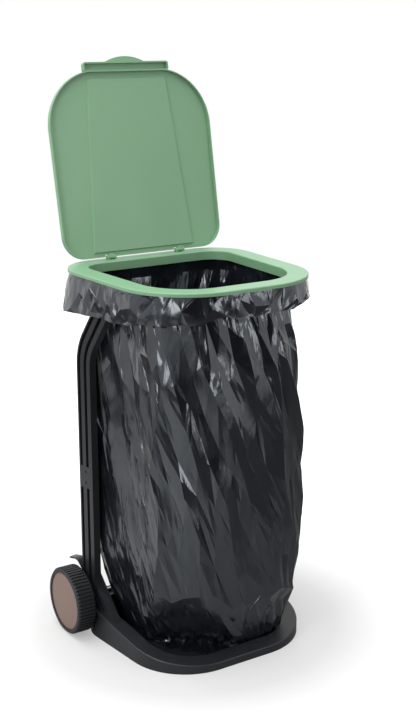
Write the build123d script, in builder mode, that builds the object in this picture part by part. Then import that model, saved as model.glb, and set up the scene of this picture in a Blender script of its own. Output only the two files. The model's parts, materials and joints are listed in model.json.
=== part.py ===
"""Bin bag holder: a wheeled stand that keeps a large plastic bag open under a hinged lid.

Millimetres, +Z up. X is side to side, and -Y is the front, where the lid's thumb tab is.
The origin lies on the floor, under the middle of the whole outline with the lid open.
"""
import os
from math import cos, hypot, pi, radians, sin, tan

from build123d import *

os.makedirs("parts", exist_ok=True)

# Clamp ring: the coloured ring that presses on the rolled-over edge of the bag
ring_top = 860.0
ring_front_width = 431.0
ring_rear_width = 476.0
ring_length = 461.0
ring_front_corner = 163.0
ring_rear_corner = 99.0
ring_flange = 47.0
ring_wall = 3.0
ring_lip_depth = 8.0
ring_skirt_depth = 21.0
ring_edge_round = 2.6

# Lid: a shallow dish, stored open and leaning back on its heels
lid_lean = 11.0
lid_rear_width = 419.0
lid_front_width = 426.0
lid_length = 424.0
lid_rear_corner = 55.0
lid_front_corner = 130.0
lid_wall = 2.5
lid_crown = 6.0
lid_seat_gap = 0.5
panel_rear_width = 272.0
panel_front_width = 212.0
panel_end = 408.0
panel_step = 4.0
panel_draft = 35.0
panel_corner = 14.0
visor_length = 224.0
visor_width = 22.0
visor_reach = 18.0
visor_wall = 3.5
visor_round = 6.0
tab_width = 106.0
tab_reach = 13.0
tab_thickness = 4.0

# Lid hinge
hinge_inset = 19.0
hinge_rise = 5.5
knuckle_radius = 4.8
knuckle_width = 13.4
knuckle_neck = 8.6
knuckle_spread = 92.0
knuckle_side_gap = 0.3
ear_thickness = 4.5
edge_to_knuckle = 0.8
notch_clearance = 1.0
hinge_pin_radius = 2.0
hinge_pin_chamfer = 0.4
pin_clearance = 0.05
heel_reach = 10.0
heel_gap = 0.4

# Bag frame: the channel under the ring that the bag is folded over
frame_outer_inset = 7.0
frame_inner_inset = 40.0
frame_height = 30.0
frame_wall = 3.0
lug_length = 64.0

# Side posts, each in two halves; station runs forward along the post's own plane
post_angle = 10.0
post_x = 227.0
post_back = 340.0
post_width = 47.0
post_thickness = 18.0
post_line = 3.5
post_split = 385.0
post_low_corner = 111.5
post_low_slope = 42.0
post_low_radius = 80.0
post_low_run = 110.0
post_top_drop = 138.0
post_top_lean = 34.0
post_top_radius = 115.0
rear_rib = 4.5
rear_groove = 8.0
front_groove = 9.0
front_rib = 12.5
groove_depth = 13.0
groove_stop = 26.0
groove_foot_run = 60.0
joiner_width = 26.0
joiner_thickness = 8.0
joiner_length = 44.0
joiner_gap = 0.2
joiner_round = 2.0
guard_thickness = 4.0
guard_height = 170.0
guard_reach = 52.0
guard_rise = 24.0
guard_droop = 6.0
guard_bend = 20.0

# Base tray and its cheeks
base_front_width = 400.0
base_rear_width = 474.0
base_front_back = 17.0
base_length = 368.0
base_front_corner = 145.0
base_rear_corner = 75.0
rim_front_height = 18.0
rim_slope = 9.24
base_wall = 3.0
rim_width = 38.0
well_floor = 7.0
floor_plate = 3.0
rim_round = 2.5
rib_pitch = 58.0
ribs_across = 5
ribs_along = 9
rib_thickness = 2.0
cheek_thickness = 4.0
cheek_gap = 0.2
cheek_top = 150.0
cheek_round = 12.0
cheek_front_height = 62.0

# Axle and wheels
axle_back = 364.0
axle_radius = 4.0
wheel_clearance = 0.05
wheel_radius = 79.0
wheel_width = 45.0
wheel_inner_x = 234.0
wheel_side_gap = 0.5
tread_ribs = 58
tread_depth = 2.5
tread_rib_width = 4.6
tyre_wall = 7.0
tyre_shoulder = 4.0
wheel_web = 4.0
wheel_hub_radius = 13.0
wheel_spokes = 8
hub_cap_radius = 67.0
hub_cap_thickness = 3.0
hub_cap_gap = 0.4
hub_cap_crown = 2.0
nut_radius = 9.0
nut_thickness = 1.5
nut_recess = 13.0
nut_gap = 0.3
nut_clearance = 0.02
axle_chamfer = 0.6
axle_end_reach = 1.0
spoke_thickness = 3.0
spoke_overlap = 1.0
boss_radius = 13.0
cheek_head = 22.0

# Screws
screw_radius = 2.4
screw_head_radius = 4.5
screw_head_height = 2.6
screw_clearance = 0.1
joint_screw_offset = 13.0
joint_screw_length = 16.0
foot_screw_length = 14.0
frame_screw_length = 45.0
screw_slot_length = 5.0
screw_slot_width = 1.0
screw_slot_depth = 1.2
foot_screw_rise = 30.0
foot_screw_run = 48.0
frame_screw_steps = (-16.0, 2.0)

# Bag: thin film, stood in the tray, passed up through the frame and folded out over it
film = 1.2
film_gap = 0.4
bag_stations = 48
fold_depth = 12.0
fold_half_width = 36.0
front_begins = 0.05
front_turn = 0.4
neck_drop = 6.0
cuff_drop = 64.0
cuff_tilt = 0.08
cuff_flare = 7.0
cuff_fold = 4.0
foot_cut_turn = 227.0

# Places worked out from the sizes above
lean = radians(lid_lean)
visor_front = lid_length + visor_reach
tab_tip = visor_front + tab_reach
lid_overhang = tab_tip * sin(lean) + lid_crown * cos(lean)
overall_depth = cuff_flare + ring_length - hinge_inset + lid_overhang
front_y = cuff_flare - overall_depth / 2
hinge_y = front_y + ring_length - hinge_inset
hinge_z = ring_top + hinge_rise
base_front_y = front_y + base_front_back
axle_y = front_y + axle_back
post_y = front_y + post_back
frame_top = ring_top - ring_lip_depth - film - 2 * film_gap
frame_bottom = frame_top - frame_height
post_top_corner = frame_bottom - post_top_drop
axle_z = wheel_radius
wheel_outer_x = wheel_inner_x + wheel_width
boss_face_x = wheel_inner_x
bore_radius = axle_radius + wheel_clearance
nut_seat = wheel_outer_x - nut_recess
axle_end_x = nut_seat + 2 * nut_gap + nut_thickness + axle_end_reach
rim_plane = Plane(
    origin=(0, base_front_y, rim_front_height),
    x_dir=(1, 0, 0),
    z_dir=(0, -sin(radians(rim_slope)), cos(radians(rim_slope))),
)
under_rim_plane = rim_plane.offset(-base_wall)


def trapezoid(near_width, far_width, near, far, near_corner, far_corner, inset=0.0):
    """Plan outline with four rounded corners, symmetric in X, drawn in by the inset."""
    with BuildSketch() as plan:
        with BuildLine():
            Polyline(
                (-near_width / 2, near),
                (near_width / 2, near),
                (far_width / 2, far),
                (-far_width / 2, far),
                close=True,
            )
        make_face()
        fillet(plan.vertices().group_by(Axis.Y)[0], near_corner)
        fillet(plan.vertices().group_by(Axis.Y)[-1], far_corner)
        if inset:
            offset(amount=-inset)
    return plan.sketch


def ring_plan(inset=0.0):
    """Outline of the clamp ring, drawn in by the inset."""
    return trapezoid(
        ring_front_width, ring_rear_width, front_y, front_y + ring_length,
        ring_front_corner, ring_rear_corner, inset,
    )


def base_plan(inset=0.0):
    """Outline of the base tray, drawn in by the inset."""
    return trapezoid(
        base_front_width, base_rear_width, base_front_y, base_front_y + base_length,
        base_front_corner, base_rear_corner, inset,
    )


def lid_plan(inset=0.0):
    """Outline of the lid in its own plane, from the hinge's centre line to the free end."""
    return trapezoid(
        lid_rear_width, lid_front_width, 0, lid_length,
        lid_rear_corner, lid_front_corner, inset,
    )


def write(piece, name):
    """Name a finished piece and write it."""
    piece.part.label = name
    export_step(piece.part, f"parts/{name}.step")


def write_pair(piece, name):
    """Write a piece of the left side, and its mirror image on the right."""
    write(piece, f"left_{name}")
    with BuildPart() as opposite:
        mirror(piece.part, about=Plane.YZ)
    write(opposite, f"right_{name}")


# Clamp ring
with BuildPart() as clamp_ring:
    with BuildSketch(Plane.XY.offset(ring_top - ring_lip_depth)):
        add(ring_plan())
        add(ring_plan(ring_flange), mode=Mode.SUBTRACT)
    extrude(amount=ring_lip_depth)
    with BuildSketch(Plane.XY.offset(ring_top - ring_lip_depth)):
        add(ring_plan(ring_wall))
        add(ring_plan(ring_flange - ring_wall), mode=Mode.SUBTRACT)
    extrude(amount=ring_lip_depth - ring_wall, mode=Mode.SUBTRACT)
    with BuildSketch(Plane.XY.offset(ring_top - ring_skirt_depth)):
        add(ring_plan(ring_flange - ring_wall))
        add(ring_plan(ring_flange), mode=Mode.SUBTRACT)
    extrude(amount=ring_skirt_depth - ring_lip_depth)
    top_edges = clamp_ring.faces().sort_by(Axis.Z)[-1].edges()
    fillet(top_edges, ring_edge_round)
    for side in (-1, 1):
        for ear in (-1, 1):
            ear_step = knuckle_width / 2 + knuckle_side_gap + ear_thickness / 2
            ear_x = side * knuckle_spread + ear * ear_step
            with BuildSketch(Plane.YZ.offset(ear_x)):
                with Locations((hinge_y, hinge_z)):
                    Circle(knuckle_radius)
                    Rectangle(
                        2 * knuckle_radius, hinge_rise + ring_wall / 2, align=(Align.CENTER, Align.MAX)
                    )
            extrude(amount=ear_thickness / 2, both=True)
            with Locations(Location((ear_x, hinge_y, hinge_z), (0, 90, 0))):
                Hole(hinge_pin_radius + pin_clearance, depth=ear_thickness)
write(clamp_ring, "clamp_ring")

# Hinge pins
with BuildPart() as hinge_pin:
    pin_length = knuckle_width + 2 * (knuckle_side_gap + ear_thickness)
    with Locations(Location((-knuckle_spread, hinge_y, hinge_z), (0, 90, 0))):
        Cylinder(hinge_pin_radius, pin_length)
    chamfer(hinge_pin.edges().filter_by(GeomType.CIRCLE), hinge_pin_chamfer)
write_pair(hinge_pin, "hinge_pin")

# Lid, drawn in its own plane: local Y runs from the hinge to the free end, local Z out of the underside
lid_plane = Plane(origin=(0, hinge_y, hinge_z), x_dir=(1, 0, 0), z_dir=(0, -cos(lean), sin(lean)))
rim_reach = hinge_rise - lid_seat_gap
notch_width = knuckle_width + 2 * (knuckle_side_gap + ear_thickness + notch_clearance)


def lid_level(level):
    """A plane parallel to the lid, level millimetres towards its underside from the hinge."""
    return lid_plane.offset(level)


def panel_plan(inset=0.0):
    """The pressed-in centre panel, which narrows towards the free end."""
    edge = knuckle_radius + edge_to_knuckle + lid_wall
    with BuildSketch() as plan:
        with BuildLine():
            Polyline(
                (-panel_rear_width / 2, edge),
                (panel_rear_width / 2, edge),
                (panel_front_width / 2, panel_end),
                (-panel_front_width / 2, panel_end),
                close=True,
            )
        make_face()
        fillet(plan.vertices().group_by(Axis.Y)[-1], panel_corner)
        if inset:
            offset(amount=-inset)
    return plan.sketch


with BuildPart() as lid:
    with BuildSketch(lid_level(-lid_crown)):
        add(lid_plan())
    extrude(amount=lid_wall)
    with BuildSketch(lid_level(-lid_crown)):
        add(lid_plan())
        add(lid_plan(lid_wall), mode=Mode.SUBTRACT)
    extrude(amount=lid_crown + rim_reach)
    with BuildSketch(lid_level(-lid_crown)):
        with Locations((0, visor_front - visor_width / 2)):
            RectangleRounded(visor_length, visor_width, visor_round)
    extrude(amount=lid_crown + rim_reach)
    with BuildSketch(lid_level(-lid_crown + lid_wall)):
        with Locations((0, visor_front - visor_width / 2)):
            RectangleRounded(
                visor_length - 2 * visor_wall, visor_width - 2 * visor_wall, visor_round - visor_wall
            )
    extrude(amount=lid_crown + rim_reach, mode=Mode.SUBTRACT)
    with BuildSketch(lid_level(-lid_crown)):
        with BuildLine():
            Line((-tab_width / 2, visor_front - visor_wall), (tab_width / 2, visor_front - visor_wall))
            Line((tab_width / 2, visor_front - visor_wall), (tab_width / 2, visor_front))
            ThreePointArc((tab_width / 2, visor_front), (0, tab_tip), (-tab_width / 2, visor_front))
            Line((-tab_width / 2, visor_front), (-tab_width / 2, visor_front - visor_wall))
        make_face()
    extrude(amount=tab_thickness)
    with BuildSketch(lid_level(-lid_crown)):
        add(panel_plan())
    extrude(amount=lid_wall + panel_step, taper=panel_draft)
    with BuildSketch(lid_level(-lid_crown)):
        add(panel_plan(lid_wall))
    extrude(amount=panel_step, taper=panel_draft, mode=Mode.SUBTRACT)
    with BuildSketch(lid_level(-lid_crown)):
        with Locations((-knuckle_spread, 0), (knuckle_spread, 0)):
            Rectangle(notch_width, 2 * (knuckle_radius + edge_to_knuckle))
    extrude(amount=lid_crown + rim_reach, mode=Mode.SUBTRACT)
    for side in (-1, 1):
        with BuildSketch(Plane.YZ.offset(side * knuckle_spread)):
            with Locations((hinge_y, hinge_z)):
                Circle(knuckle_radius)
                with Locations(Location((0, 0), 90 - lid_lean)):
                    Rectangle(
                        knuckle_radius + edge_to_knuckle + lid_wall, knuckle_neck,
                        align=(Align.MIN, Align.CENTER),
                    )
            with Locations((hinge_y, hinge_z)):
                Rectangle(heel_reach, hinge_rise - heel_gap, align=(Align.MIN, Align.MAX))
        extrude(amount=knuckle_width / 2, both=True)
        with Locations(Location((side * knuckle_spread, hinge_y, hinge_z), (0, 90, 0))):
            Hole(hinge_pin_radius + pin_clearance, depth=knuckle_width)
write(lid, "lid")


# Side posts
post_turn = radians(post_angle)
low_turn = radians(90 - post_low_slope)
top_turn = radians(post_top_lean)
left_post_plane = Plane(
    origin=(-post_x, post_y, 0),
    x_dir=(sin(post_turn), -cos(post_turn), 0),
    z_dir=(-cos(post_turn), -sin(post_turn), 0),
)


def post_strip(step, width, low_run, top_height):
    """Flat strip along the post, step millimetres forward of its centre line, with round ends."""
    line = post_line + step
    low_z = post_low_corner + step * tan(low_turn / 2)
    top_z = post_top_corner - step * tan(top_turn / 2)
    low_end = (line + low_run * sin(low_turn), low_z - low_run * cos(low_turn))
    top_end = (line + (top_height - top_z) * tan(top_turn), top_height)
    with BuildSketch() as strip:
        with BuildLine():
            FilletPolyline(
                low_end, (line, low_z), (line, top_z), top_end,
                radius=(post_low_radius - step, post_top_radius - step),
            )
            offset(amount=width / 2)
        make_face()
    return strip.sketch


def post_place(station, height, depth, inward=False):
    """A plane on the left post, depth millimetres inside its outer face."""
    spot = left_post_plane.offset(-depth).from_local_coords((station, height, 0))
    normal = left_post_plane.z_dir * (-1 if inward else 1)
    return Plane(origin=spot, x_dir=(0, 0, 1), z_dir=normal)


def screw_at(place, length):
    """A pan-head screw: its head sits on the place's plane, its shank runs the other way."""
    with BuildPart(place) as screw:
        Cylinder(screw_head_radius, screw_head_height, align=(Align.CENTER, Align.CENTER, Align.MIN))
        Cylinder(screw_radius, length, align=(Align.CENTER, Align.CENTER, Align.MAX))
        with Locations((0, 0, screw_head_height)):
            Box(screw_slot_length, screw_slot_width, 2 * screw_slot_depth, mode=Mode.SUBTRACT)
            Box(screw_slot_width, screw_slot_length, 2 * screw_slot_depth, mode=Mode.SUBTRACT)
    return screw.part


def screw_room(place, length, head_depth=0.0):
    """What a screw takes out of the pieces that it goes through."""
    with BuildPart(place) as room:
        Cylinder(
            screw_radius + screw_clearance, length + screw_clearance,
            align=(Align.CENTER, Align.CENTER, Align.MAX),
        )
        if head_depth:
            Cylinder(
                screw_head_radius + screw_clearance, head_depth,
                align=(Align.CENTER, Align.CENTER, Align.MIN),
            )
    return room.part


rear_groove_step = -post_width / 2 + rear_rib + rear_groove / 2
front_groove_step = post_width / 2 - front_rib - front_groove / 2
mid_rib_step = (rear_groove_step + rear_groove / 2 + front_groove_step - front_groove / 2) / 2
groove_top = frame_bottom - 2 * groove_stop
joiner_depth = (post_thickness - joiner_thickness) / 2
joint_screws = [
    post_place(post_line, post_split + end * joint_screw_offset, screw_head_height) for end in (-1, 1)
]
mid_rib_corner = post_low_corner + mid_rib_step * tan(low_turn / 2)
cheek_back = post_thickness + cheek_gap + cheek_thickness
foot_screws = [
    post_place(post_line + mid_rib_step, mid_rib_corner + foot_screw_rise, cheek_back, inward=True),
    post_place(
        post_line + mid_rib_step + foot_screw_run * sin(low_turn),
        mid_rib_corner - foot_screw_run * cos(low_turn),
        cheek_back,
        inward=True,
    ),
]
top_station = post_line + (frame_bottom - post_top_corner) * tan(top_turn)
frame_screw_seat = frame_top - screw_head_height - screw_clearance
frame_screws = []
for station in frame_screw_steps:
    spot = left_post_plane.from_local_coords((top_station + station, 0, -post_thickness / 2))
    frame_screws.append(Plane(origin=(spot.X, spot.Y, frame_screw_seat)))

with BuildPart() as left_post:
    with BuildSketch(left_post_plane):
        add(post_strip(0, post_width, post_low_run, frame_bottom + post_width))
    extrude(amount=-post_thickness)
    with BuildSketch(left_post_plane):
        add(post_strip(rear_groove_step, rear_groove, groove_foot_run, groove_top))
        add(post_strip(front_groove_step, front_groove, groove_foot_run, groove_top))
        with Locations((post_line, post_split)):
            Rectangle(2 * post_width, 2 * groove_stop, mode=Mode.SUBTRACT)
    extrude(amount=-groove_depth, mode=Mode.SUBTRACT)
    split(bisect_by=rim_plane, keep=Keep.TOP)
    split(bisect_by=Plane.XY.offset(frame_bottom), keep=Keep.BOTTOM)
    with BuildSketch(left_post_plane.offset(-joiner_depth + joiner_gap)):
        with Locations((post_line, post_split)):
            Rectangle(joiner_width + 2 * joiner_gap, joiner_length + 2 * joiner_gap)
    extrude(amount=-joiner_thickness - 2 * joiner_gap, mode=Mode.SUBTRACT)
    for place in joint_screws:
        add(screw_room(place, joint_screw_length, screw_head_height), mode=Mode.SUBTRACT)
    for place in foot_screws:
        add(screw_room(place, foot_screw_length), mode=Mode.SUBTRACT)
    for place in frame_screws:
        add(screw_room(place, frame_screw_length), mode=Mode.SUBTRACT)

with BuildPart() as left_post_upper:
    add(left_post.part)
    split(bisect_by=Plane.XY.offset(post_split), keep=Keep.TOP)

guard_root = post_line - post_width / 2 + guard_thickness
with BuildPart() as left_post_lower:
    add(left_post.part)
    split(bisect_by=Plane.XY.offset(post_split), keep=Keep.BOTTOM)
    with BuildSketch(left_post_plane):
        with BuildLine():
            FilletPolyline(
                (guard_root, guard_height - guard_rise),
                (guard_root - guard_reach / 2, guard_height),
                (guard_root - guard_reach, guard_height - guard_droop),
                radius=guard_bend,
            )
            offset(amount=guard_thickness / 2)
        make_face()
    extrude(amount=-post_thickness)

write_pair(left_post_upper, "post_upper")
write_pair(left_post_lower, "post_lower")

# Joiners, plugged into both halves of a post
with BuildPart() as joiner:
    with BuildSketch(left_post_plane.offset(-joiner_depth)):
        with Locations((post_line, post_split)):
            RectangleRounded(joiner_width, joiner_length, joiner_round)
    extrude(amount=-joiner_thickness)
    for place in joint_screws:
        add(screw_room(place, joint_screw_length), mode=Mode.SUBTRACT)
write_pair(joiner, "post_joiner")

# Screws, in one node for each kind
for places, length, name in (
    (joint_screws, joint_screw_length, "joint_screws"),
    (foot_screws, foot_screw_length, "foot_screws"),
    (frame_screws, frame_screw_length, "frame_screws"),
):
    with BuildPart() as screws:
        for place in places:
            add(screw_at(place, length))
        mirror(about=Plane.YZ)
    write(screws, name)

# Bag frame
with BuildPart() as bag_frame:
    with BuildSketch(Plane.XY.offset(frame_bottom)):
        add(ring_plan(frame_outer_inset))
        add(ring_plan(frame_inner_inset), mode=Mode.SUBTRACT)
    extrude(amount=frame_height)
    fillet(bag_frame.faces().sort_by(Axis.Z)[-1].edges(), frame_wall / 2)
    lug_spot = left_post_plane.from_local_coords((top_station, 0, 0))
    with BuildSketch(Plane.XY.offset(frame_bottom)):
        add(ring_plan(frame_outer_inset + frame_wall))
        add(ring_plan(frame_inner_inset - frame_wall), mode=Mode.SUBTRACT)
        with Locations((0, lug_spot.Y)):
            Rectangle(2 * ring_rear_width, lug_length, mode=Mode.SUBTRACT)
    extrude(amount=frame_height - frame_wall, mode=Mode.SUBTRACT)
    for place in frame_screws:
        for spot in (place, Plane(origin=(-place.origin.X, place.origin.Y, place.origin.Z))):
            add(screw_room(spot, frame_screw_length, 2 * screw_head_height), mode=Mode.SUBTRACT)
write(bag_frame, "bag_frame")

# Cheek: the plate inside a post's foot that takes the post's screws and the axle
axle_station = (axle_y - post_y) * -cos(post_turn)
cheek_plane = left_post_plane.offset(-post_thickness - cheek_gap)
cheek_front = post_line + post_low_run * sin(low_turn)
with BuildPart() as cheek:
    with BuildSketch(cheek_plane):
        with BuildLine():
            FilletPolyline(
                (axle_station - cheek_head, rim_front_height),
                (axle_station - cheek_head, axle_z + cheek_head),
                (post_line - post_width / 2, cheek_top),
                (post_line + post_width / 3, cheek_top),
                (cheek_front, cheek_front_height),
                (cheek_front, rim_front_height),
                radius=cheek_round,
                close=True,
            )
        make_face()
    extrude(amount=-cheek_thickness)
    split(bisect_by=under_rim_plane, keep=Keep.TOP)
    with BuildSketch(Plane(origin=(-boss_face_x, axle_y, axle_z), z_dir=(1, 0, 0))):
        Circle(boss_radius)
    extrude(until=Until.LAST)
    with Locations(Location((-post_x, axle_y, axle_z), (0, 90, 0))):
        Cylinder(bore_radius, 2 * wheel_width, mode=Mode.SUBTRACT)
    for place in foot_screws:
        add(screw_room(place, foot_screw_length), mode=Mode.SUBTRACT)

# Base tray: a sloping skirt and flange round a well, with a cheek each side for the axle and the post
well_bottom = well_floor - floor_plate
with BuildPart() as under_rim:
    with BuildSketch():
        add(base_plan(base_wall))
        add(base_plan(rim_width - base_wall), mode=Mode.SUBTRACT)
    extrude(amount=ring_top / 2)
    split(bisect_by=under_rim_plane, keep=Keep.BOTTOM)

with BuildPart() as base_tray:
    with BuildSketch():
        add(base_plan())
    extrude(amount=ring_top / 2)
    split(bisect_by=rim_plane, keep=Keep.BOTTOM)
    with BuildSketch(Plane.XY.offset(well_floor)):
        add(base_plan(rim_width))
    extrude(amount=ring_top / 2, mode=Mode.SUBTRACT)
    rim_face = base_tray.faces().filter_by(lambda f: f.normal_at().Z > 0.9).sort_by(Axis.Z)[-1]
    fillet(rim_face.edges(), rim_round)
    add(under_rim.part, mode=Mode.SUBTRACT)
    with BuildSketch():
        add(base_plan(rim_width + base_wall))
        with GridLocations(rib_pitch, 1, ribs_across, 1):
            Rectangle(rib_thickness, 2 * base_length, mode=Mode.SUBTRACT)
        with GridLocations(1, rib_pitch, 1, ribs_along):
            Rectangle(2 * base_rear_width, rib_thickness, mode=Mode.SUBTRACT)
    extrude(amount=well_bottom, mode=Mode.SUBTRACT)
    add(cheek.part)
    mirror(cheek.part, about=Plane.YZ)
write(base_tray, "base_tray")

# Axle
with BuildPart() as axle:
    with Locations(Location((0, axle_y, axle_z), (0, 90, 0))):
        Cylinder(axle_radius, 2 * axle_end_x)
    chamfer(axle.edges().filter_by(GeomType.CIRCLE), axle_chamfer)
write(axle, "axle")

# Wheel: a hollow rim with a ribbed tread, a web, spokes and a hub, turned about the axle
axle_line = Plane(origin=(0, axle_y, axle_z), x_dir=(0, 1, 0), z_dir=(-1, 0, 0))
wheel_start = wheel_inner_x + wheel_side_gap
cap_seat = wheel_outer_x - hub_cap_thickness - hub_cap_crown
recess_radius = hub_cap_radius + hub_cap_gap
rim_inner = wheel_radius - tread_depth - tyre_wall
web_start = nut_seat - wheel_web
wheel_profile_plane = Plane(origin=(0, axle_y, axle_z), x_dir=(-1, 0, 0), z_dir=(0, 1, 0))
with BuildPart() as wheel:
    with BuildSketch(wheel_profile_plane):
        with BuildLine():
            Polyline(
                (wheel_start, rim_inner),
                (wheel_start, wheel_radius - tyre_shoulder),
                (wheel_start + tyre_shoulder, wheel_radius),
                (wheel_outer_x - tyre_shoulder, wheel_radius),
                (wheel_outer_x, wheel_radius - tyre_shoulder),
                (wheel_outer_x, recess_radius),
                (cap_seat, recess_radius),
                (cap_seat, rim_inner - tyre_wall / 2),
                (nut_seat, rim_inner - tyre_wall / 2),
                (nut_seat, bore_radius),
                (wheel_start, bore_radius),
                (wheel_start, wheel_hub_radius),
                (web_start, wheel_hub_radius),
                (web_start, rim_inner),
                close=True,
            )
        make_face()
    revolve(axis=Axis((0, axle_y, axle_z), (-1, 0, 0)))
    with BuildSketch(axle_line.offset(wheel_start)):
        with PolarLocations(0, wheel_spokes):
            with Locations(((wheel_hub_radius + rim_inner) / 2, 0)):
                Rectangle(rim_inner - wheel_hub_radius + spoke_overlap, spoke_thickness)
    extrude(amount=web_start - wheel_start + spoke_overlap)
    with BuildSketch(axle_line.offset(wheel_start)):
        with PolarLocations(wheel_radius, tread_ribs):
            Rectangle(2 * tread_depth, 2 * pi * wheel_radius / tread_ribs - tread_rib_width)
    extrude(amount=wheel_width, mode=Mode.SUBTRACT)
write_pair(wheel, "wheel")

# Hub cap: a thin domed disc in the wheel's outer recess
with BuildPart() as hub_cap:
    with BuildSketch(wheel_profile_plane):
        with BuildLine():
            cap_edge = (cap_seat + hub_cap_thickness, hub_cap_radius)
            cap_middle = (cap_seat + hub_cap_thickness + hub_cap_crown, 0)
            Polyline(cap_middle, (cap_seat, 0), (cap_seat, hub_cap_radius), cap_edge)
            TangentArc(cap_middle, cap_edge, tangent=(0, 1))
        make_face()
    revolve(axis=Axis((0, axle_y, axle_z), (-1, 0, 0)))
write_pair(hub_cap, "hub_cap")

# Push nuts that keep the wheels on
with BuildPart() as push_nut:
    with BuildSketch(axle_line.offset(nut_seat + nut_gap)):
        Circle(nut_radius)
        Circle(axle_radius + nut_clearance, mode=Mode.SUBTRACT)
    extrude(amount=nut_thickness)
write_pair(push_nut, "push_nut")

# Bag: where its loops of corners stand, counted round the ring's outline from the middle of the front
ring_edge = ring_plan().face().outer_wire()
fine_steps = 400
front_share = min(
    (index / fine_steps for index in range(fine_steps)),
    key=lambda share: (ring_edge.position_at(share) - Vector(0, front_y, 0)).length,
)
girth = ring_edge.length
ahead = 1 if ring_edge.tangent_at(front_share).X > 0 else -1
stations = []
for index in range(bag_stations):
    around = index / bag_stations
    share = (front_share + ahead * around) % 1.0
    spot = ring_edge.position_at(share)
    along = ring_edge.tangent_at(share) * ahead
    outward = Vector(along.Y, -along.X, 0)
    stations.append((around if around < 0.5 else around - 1.0, spot, outward))

# Main folds of the bag, each as a line of (share of the way round, share of the ring's height) points
bag_folds = [
    [(-0.29, 0.74), (-0.26, 0.46), (-0.21, 0.23), (-0.193, 0.14)],
    [(-0.264, 0.93), (-0.23, 0.75), (-0.2, 0.52)],
    [(-0.2, 0.94), (-0.2, 0.64), (-0.19, 0.38)],
    [(-0.153, 0.94), (-0.132, 0.77), (-0.147, 0.59)],
    [(-0.147, 0.94), (-0.114, 0.77), (-0.088, 0.6), (-0.075, 0.51)],
    [(-0.095, 0.94), (-0.075, 0.82), (-0.04, 0.68), (-0.011, 0.51), (0.012, 0.4)],
    [(-0.014, 0.94), (0.004, 0.82), (0.017, 0.68)],
    [(0.006, 0.92), (0.04, 0.83), (0.052, 0.73), (0.06, 0.48), (0.065, 0.35)],
    [(0.061, 0.88), (0.068, 0.8), (0.124, 0.58), (0.134, 0.44)],
    [(-0.2, 0.35), (-0.195, 0.23), (-0.19, 0.09)],
    [(-0.138, 0.5), (-0.14, 0.33), (-0.168, 0.16), (-0.198, 0.07)],
    [(-0.063, 0.57), (-0.039, 0.45), (-0.025, 0.3), (-0.009, 0.17), (0.009, 0.1)],
    [(0.029, 0.53), (0.03, 0.4), (0.041, 0.28), (0.031, 0.19), (0.007, 0.13)],
    [(0.134, 0.49), (0.133, 0.35), (0.127, 0.23), (0.128, 0.15)],
    [(-0.184, 0.08), (-0.148, 0.16), (-0.108, 0.2), (-0.078, 0.21)],
    [(0.019, 0.16), (0.068, 0.17), (0.104, 0.15), (0.128, 0.14)],
]
side_fold_pitch = 0.042
side_fold_count = 13
side_fold_start = 0.165
side_fold_lean = 0.02
for index in range(side_fold_count):
    foot = side_fold_start + index * side_fold_pitch
    place = foot if foot < 0.5 else foot - 1.0
    bag_folds.append([(place - side_fold_lean, 0.94), (place, 0.1)])


def fold_rise(around, height):
    """How high the folds stand at a place on the bag, from 0 between them to 1 on a fold's edge."""
    gap = fold_half_width
    for line in bag_folds:
        for (start_share, start_height), (end_share, end_height) in zip(line, line[1:]):
            run = (end_share - start_share) * girth
            climb = (end_height - start_height) * ring_top
            to_x = (around - start_share) * girth
            to_y = height - start_height * ring_top
            part = min(max((to_x * run + to_y * climb) / (run**2 + climb**2), 0.0), 1.0)
            gap = min(gap, hypot(to_x - part * run, to_y - part * climb))
    return 1.0 - gap / fold_half_width


# Bag levels: height, inset at the sides, how much further out the front stands, how far the rear is
# drawn to the front, depth of the folds, and how far out the front left corner is cut off straight
film_top = frame_top + film_gap + film
neck = frame_inner_inset + film_gap
uncut = ring_length
body_levels = [
    (well_floor + film_gap, 70.0, 4.0, 78.0, 5.0, 128.0),
    (60.0, 56.0, 4.0, 75.0, 8.0, 160.0),
    (124.0, 40.0, 15.0, 60.0, fold_depth, 205.0),
    (216.0, 33.0, 18.0, 42.0, fold_depth, uncut),
    (336.0, 29.0, 25.0, 26.0, fold_depth, uncut),
    (508.0, 28.0, 21.0, 12.0, fold_depth, uncut),
    (664.0, 28.0, 12.0, 6.0, fold_depth, uncut),
    (760.0, 36.5, 13.5, 2.0, fold_depth / 2, uncut),
    (frame_bottom - neck_drop, neck + 1.0, 0.0, 0.0, 1.0, uncut),
    (film_top, neck, 0.0, 0.0, 0.0, uncut),
]
cuff_inset = frame_outer_inset - 2 * film_gap - 2 * film
cuff_levels = [
    (film_top, cuff_inset, 0.0, 0.0, 0.0, uncut),
    (film_top - cuff_drop, -cuff_flare, 0.0, 0.0, cuff_fold, uncut),
]
cut_way = Vector(cos(radians(foot_cut_turn)), sin(radians(foot_cut_turn)), 0)


def film_loop(level, depth, rise=0.0, tilt=0.0):
    """Outline of the film at a level, depth millimetres in from its outer side."""
    height, inset, bulge, rear_pull, folds, cut = level
    corners = []
    for around, spot, outward in stations:
        frontness = min(max((-outward.Y - front_begins) / front_turn, 0.0), 1.0)
        valley = folds * (1.0 - fold_rise(around, height))
        corner = spot - outward * (inset - bulge * frontness + valley + depth)
        corner -= Vector(0, rear_pull * (corner.Y - front_y) / ring_length, 0)
        corner -= cut_way * max(corner.dot(cut_way) - cut + depth, 0.0)
        corners.append((corner.X, corner.Y, height + rise + tilt * corner.X))
    return Face(Wire.make_polygon(corners))


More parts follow.
